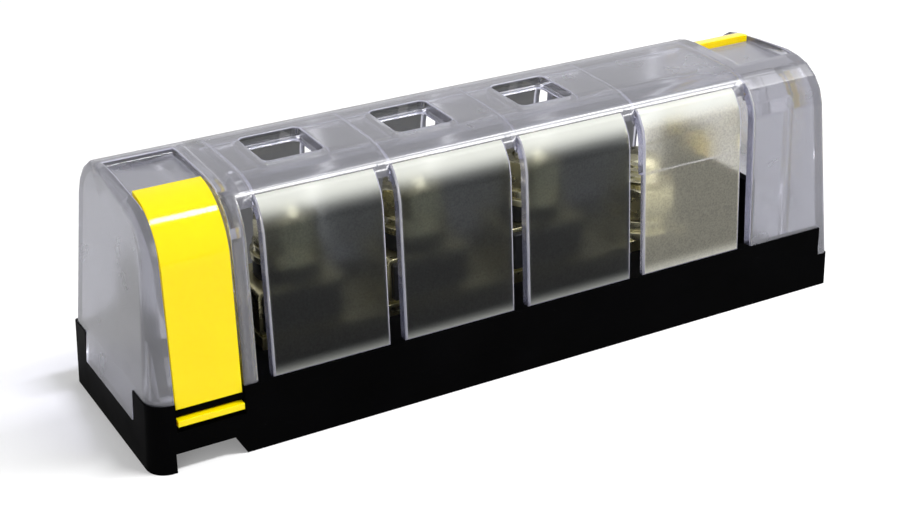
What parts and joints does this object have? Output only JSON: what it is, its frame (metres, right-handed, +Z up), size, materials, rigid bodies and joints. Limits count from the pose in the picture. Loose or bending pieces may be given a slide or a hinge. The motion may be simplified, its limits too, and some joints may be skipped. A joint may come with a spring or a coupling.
{
  "type": "fuse block",
  "caption": "Long fuse block with a black base, a clear lid with frosted snap-off cable tabs, yellow swing clips, block fuses on studs and a feed stud on a shared bus bar.",
  "frame": {"origin": "middle of the underside of the base", "axes": "+X along the block towards the feed stud, +Y from the front to the rear, +Z up to the lid"},
  "size_m": [0.182, 0.048, 0.0588],
  "materials": {
    "black_plastic": "black moulded plastic with a low gloss",
    "clear_plastic": "clear polycarbonate with frosted tabs",
    "yellow_plastic": "bright yellow moulded plastic",
    "plated_copper": "plated copper strip, pale and slightly yellow",
    "plated_steel": "zinc plated steel with a yellow cast",
    "fuse_plastic": "matt black moulded plastic"
  },
  "bodies": {
    "block": {"base": "black_plastic", "lid": "clear_plastic", "bus_bar": "plated_copper", "fuse_studs": "plated_steel", "feed_stud": "plated_steel", "fuse_1_body": "fuse_plastic", "fuse_2_body": "fuse_plastic", "fuse_3_body": "fuse_plastic", "fuse_1_link": "plated_copper", "fuse_2_link": "plated_copper", "fuse_3_link": "plated_copper", "stud_bush_1": "fuse_plastic", "stud_bush_2": "fuse_plastic", "stud_bush_3": "fuse_plastic", "fuse_washers": "plated_steel", "fuse_spring_washers": "plated_steel", "fuse_nuts": "plated_steel", "feed_washer": "plated_steel", "feed_spring_washer": "plated_steel", "feed_nut": "plated_steel"},
    "front_clip": {"front_clip": "yellow_plastic"},
    "rear_clip": {"rear_clip": "yellow_plastic"}
  },
  "joints": [
    {"name": "front_clip_hinge", "type": "hinge", "parent": "block", "child": "front_clip", "pos_m": [-0.07705, -0.0213, 0.0133], "axis": [1, 0, 0], "range_deg": [0, 105]},
    {"name": "rear_clip_hinge", "type": "hinge", "parent": "block", "child": "rear_clip", "pos_m": [0.07705, 0.0213, 0.0133], "axis": [-1, 0, 0], "range_deg": [0, 105]}
  ]
}
